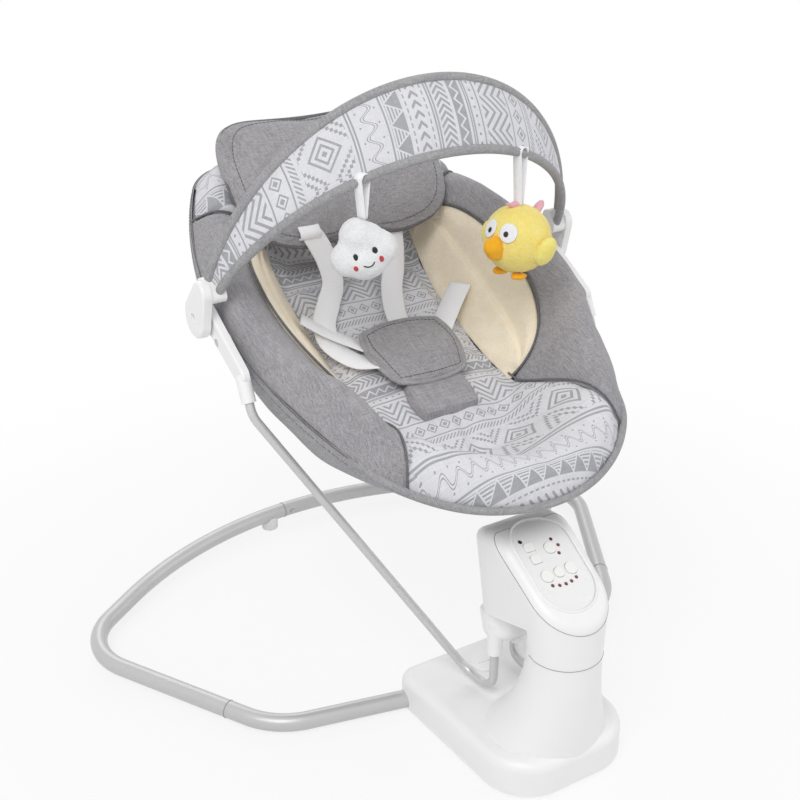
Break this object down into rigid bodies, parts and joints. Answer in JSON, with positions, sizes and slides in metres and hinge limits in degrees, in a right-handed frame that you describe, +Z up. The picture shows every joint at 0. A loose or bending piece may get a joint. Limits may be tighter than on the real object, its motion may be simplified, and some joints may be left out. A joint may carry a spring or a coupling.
{
  "type": "baby swing",
  "caption": "Powered baby swing: a floor ring and moulded tower carry a padded bucket seat on bent rods, with a tilting canopy, hanging toys, harness and push buttons.",
  "frame": {"origin": "on the floor, under the centre of the bounding box", "axes": "+Z up; +Y from the control tower towards the head end of the seat; X = 0 is the plane of symmetry of the frame and seat"},
  "size_m": [0.6784, 0.6077, 0.6408],
  "materials": {
    "tube_paint": "satin",
    "rod_paint": "satin",
    "steel": "plain",
    "shell_white": "fine satin moulding",
    "panel_white": "smooth",
    "button_clear": "milky",
    "lamp_red": "clear lens",
    "receiver_black": "dark lens",
    "board_green": "plain",
    "inner_plastic": "plain",
    "coil_copper": "enamelled wire",
    "foot_rubber": "matte",
    "linen_grey": "heathered plain weave",
    "print_cloth": "printed with a plain geometric pattern",
    "fleece_cream": "short pile",
    "webbing_white": "woven tape",
    "buckle_plastic": "plain",
    "cloud_plush": "plush",
    "chick_plush": "plush",
    "chick_orange": "felt",
    "chick_pale": "plush"
  },
  "bodies": {
    "base": {"base_cover": "shell_white", "control_board": "board_green", "control_panel": "panel_white", "drive_chassis": "inner_plastic", "drive_coil": "coil_copper", "indicator_lamps": "lamp_red", "pivot_bearings": "steel", "rear_foot": "foot_rubber", "remote_receiver": "receiver_black", "ring_front_left_tube": "tube_paint", "ring_front_right_tube": "tube_paint", "ring_left_tube": "tube_paint", "ring_right_tube": "tube_paint", "rubber_feet": "foot_rubber", "tower_column": "shell_white", "tower_foot": "shell_white", "tower_head": "shell_white", "tube_sleeves": "steel"},
    "upper_button": {"upper_button": "button_clear"},
    "lower_button": {"lower_button": "button_clear"},
    "timer_button": {"timer_button": "button_clear"},
    "minus_button": {"minus_button": "button_clear"},
    "speed_button": {"speed_button": "button_clear"},
    "plus_button": {"plus_button": "button_clear"},
    "lock_left": {"tube_lock_button_left": "steel"},
    "lock_right": {"tube_lock_button_right": "steel"},
    "lock_rear": {"tube_lock_button_rear": "steel"},
    "cloud_toy": {"cloud_ribbon": "webbing_white", "cloud_body": "cloud_plush"},
    "chick_toy": {"chick_ribbon": "webbing_white", "chick_body": "chick_plush", "chick_beak": "chick_orange", "chick_wings": "chick_pale", "chick_feet": "chick_orange"},
    "canopy": {"left_canopy_disc": "shell_white", "right_canopy_disc": "shell_white", "canopy_bows": "steel", "canopy_band": "print_cloth"},
    "swing": {"pivot_shaft": "steel", "magnet_arm": "inner_plastic", "drive_magnet": "steel", "swing_hub": "shell_white", "left_swing_rod": "rod_paint", "right_swing_rod": "rod_paint", "seat_hoop": "steel", "left_bracket": "shell_white", "right_bracket": "shell_white", "bracket_screws": "steel", "seat_sling": "linen_grey", "seat_pad": "print_cloth", "right_bolster": "linen_grey", "left_bolster": "linen_grey", "right_wing_lining": "fleece_cream", "left_wing_lining": "fleece_cream", "head_pillow": "linen_grey", "harness_buckle": "buckle_plastic", "crotch_pad": "linen_grey", "crotch_strap": "linen_grey", "shoulder_straps": "webbing_white", "waist_straps": "webbing_white"}
  },
  "joints": [
    {"name": "swing_pivot", "type": "hinge", "parent": "base", "child": "swing", "pos_m": [0, -0.187, 0.126], "axis": [0, 0.309, 0.9511], "range_deg": [-10, 10]},
    {"name": "canopy_pivot", "type": "hinge", "parent": "swing", "child": "canopy", "pos_m": [0, 0.0535, 0.418], "axis": [1, 0, 0], "range_deg": [-45, 30]},
    {"name": "cloud_hang", "type": "hinge", "parent": "canopy", "child": "cloud_toy", "pos_m": [-0.09, -0.04795, 0.56023], "axis": [0.9111, -0.2394, 0.3356], "range_deg": [-30, 30]},
    {"name": "chick_hang", "type": "hinge", "parent": "canopy", "child": "chick_toy", "pos_m": [0.09, -0.04795, 0.56023], "axis": [0.9111, 0.2394, -0.3356], "range_deg": [-30, 30]},
    {"name": "upper_press", "type": "slide", "parent": "base", "child": "upper_button", "axis": [0, 0.5225, -0.8526], "range_m": [0, 0.001], "stiffness_N_per_m": 400},
    {"name": "lower_press", "type": "slide", "parent": "base", "child": "lower_button", "axis": [0, 0.5225, -0.8526], "range_m": [0, 0.001], "stiffness_N_per_m": 400},
    {"name": "timer_press", "type": "slide", "parent": "base", "child": "timer_button", "axis": [0, 0.5225, -0.8526], "range_m": [0, 0.001], "stiffness_N_per_m": 400},
    {"name": "minus_press", "type": "slide", "parent": "base", "child": "minus_button", "axis": [0, 0.5225, -0.8526], "range_m": [0, 0.001], "stiffness_N_per_m": 400},
    {"name": "speed_press", "type": "slide", "parent": "base", "child": "speed_button", "axis": [0, 0.5225, -0.8526], "range_m": [0, 0.001], "stiffness_N_per_m": 400},
    {"name": "plus_press", "type": "slide", "parent": "base", "child": "plus_button", "axis": [0, 0.5225, -0.8526], "range_m": [0, 0.001], "stiffness_N_per_m": 400},
    {"name": "lock_left_press", "type": "slide", "parent": "base", "child": "lock_left", "axis": [-0.866, -0.4999, -0.0113], "range_m": [0, 0.002], "stiffness_N_per_m": 800},
    {"name": "lock_right_press", "type": "slide", "parent": "base", "child": "lock_right", "axis": [0.866, -0.4999, -0.0113], "range_m": [0, 0.002], "stiffness_N_per_m": 800},
    {"name": "lock_rear_press", "type": "slide", "parent": "base", "child": "lock_rear", "axis": [0, 0.9997, 0.0227], "range_m": [0, 0.002], "stiffness_N_per_m": 800}
  ]
}
